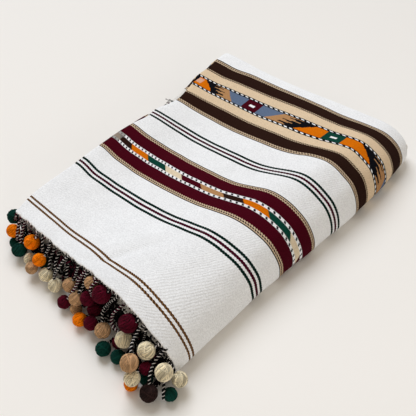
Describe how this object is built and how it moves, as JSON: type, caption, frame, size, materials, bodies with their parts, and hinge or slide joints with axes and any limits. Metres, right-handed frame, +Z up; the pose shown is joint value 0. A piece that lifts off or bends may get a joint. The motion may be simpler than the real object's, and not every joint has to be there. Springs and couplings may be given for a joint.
{
  "type": "folded wool shawl",
  "caption": "Hand-woven white wool shawl with coloured bands, folded into a thick block, with twisted cords and yarn pompoms along one end.",
  "frame": {"origin": "point on the flat underside of the folded block, near the middle of it in plan, on the surface that the shawl lies on", "axes": "+X across the folded block, from its open side with the layered edges to the side fold; +Y along it, from the fringed end to the far fold; +Z up"},
  "size_m": [0.305, 0.4575, 0.06],
  "materials": {
    "white_wool": "hand-woven wool twill with coloured weft bands",
    "inner_wool": "folded wool cloth seen at its edges",
    "cord": "two-ply black and white wool cord",
    "yarn_green": "wound wool yarn, matt",
    "yarn_orange": "wound wool yarn, matt",
    "yarn_cream": "wound wool yarn, matt",
    "yarn_tan": "wound wool yarn, matt",
    "yarn_maroon": "wound wool yarn, matt",
    "yarn_brown": "wound wool yarn, matt"
  },
  "bodies": {
    "root": {"outer_layer": "white_wool", "hidden_layers": "inner_wool", "fringe_top": "cord", "fringe_low": "cord", "pompom_green_01": "yarn_green", "pompom_orange_02": "yarn_orange", "pompom_green_03": "yarn_green", "pompom_green_04": "yarn_green", "pompom_orange_05": "yarn_orange", "pompom_cream_06": "yarn_cream", "pompom_tan_07": "yarn_tan", "pompom_orange_08": "yarn_orange", "pompom_green_09": "yarn_green", "pompom_cream_10": "yarn_cream", "pompom_cream_11": "yarn_cream", "pompom_tan_12": "yarn_tan", "pompom_maroon_13": "yarn_maroon", "pompom_tan_14": "yarn_tan", "pompom_maroon_15": "yarn_maroon", "pompom_tan_16": "yarn_tan", "pompom_maroon_17": "yarn_maroon", "pompom_orange_18": "yarn_orange", "pompom_maroon_19": "yarn_maroon", "pompom_maroon_20": "yarn_maroon", "pompom_tan_21": "yarn_tan", "pompom_maroon_22": "yarn_maroon", "pompom_cream_23": "yarn_cream", "pompom_green_24": "yarn_green", "pompom_maroon_25": "yarn_maroon", "pompom_green_26": "yarn_green", "pompom_cream_27": "yarn_cream", "pompom_tan_28": "yarn_tan", "pompom_cream_29": "yarn_cream", "pompom_orange_30": "yarn_orange", "pompom_maroon_31": "yarn_maroon", "pompom_green_32": "yarn_green", "pompom_brown_33": "yarn_brown", "pompom_cream_34": "yarn_cream", "pompom_cream_35": "yarn_cream", "pompom_green_36": "yarn_green", "pompom_tan_37": "yarn_tan"}
  },
  "joints": []
}
